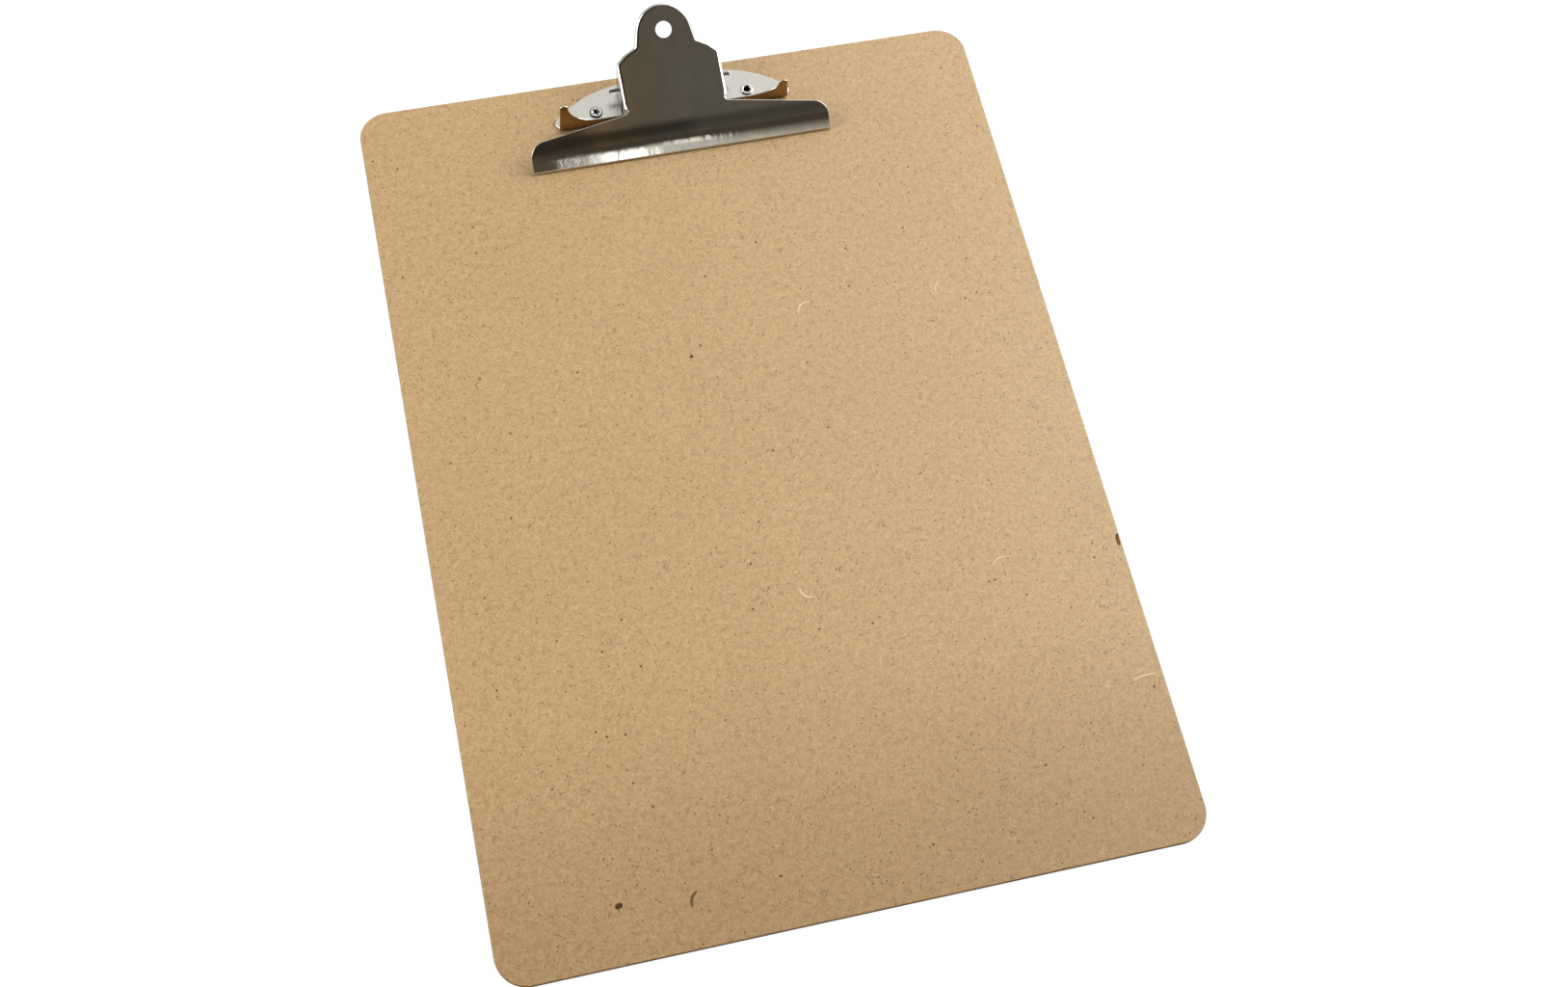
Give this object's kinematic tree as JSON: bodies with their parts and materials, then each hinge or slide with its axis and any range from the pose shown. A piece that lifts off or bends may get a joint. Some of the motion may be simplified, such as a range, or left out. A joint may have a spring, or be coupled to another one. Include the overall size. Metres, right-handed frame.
{
  "type": "hardboard clipboard",
  "caption": "Large hardboard clipboard with a riveted spring clip: base plate with horned paper stops, hinged lever plate with a thumb tab and hanging hole.",
  "frame": {"origin": "centre of the board's underside", "axes": "+Z out of the writing face, +Y towards the edge that carries the clip, +X to the right of someone reading the board"},
  "size_m": [0.315, 0.4534, 0.0427],
  "materials": {
    "hardboard": "satin",
    "base_nickel": "polished",
    "lever_nickel": "polished",
    "pin_steel": "satin",
    "spring_steel": "satin",
    "rivet_left_nickel": "polished",
    "rivet_right_nickel": "polished"
  },
  "bodies": {
    "base": {"board": "hardboard", "base_plate": "base_nickel", "hinge_pin": "pin_steel", "rivet_left": "rivet_left_nickel", "rivet_right": "rivet_right_nickel", "torsion_spring": "spring_steel"},
    "lever": {"lever_plate": "lever_nickel"}
  },
  "joints": [
    {"name": "lever_hinge", "type": "hinge", "parent": "base", "child": "lever", "pos_m": [0, 0.207, 0.0112], "axis": [-1, 0, 0], "range_deg": [0, 35], "stiffness_Nm_per_rad": 0.67, "springref_deg": -38.39, "deforming": ["torsion_spring"]}
  ]
}
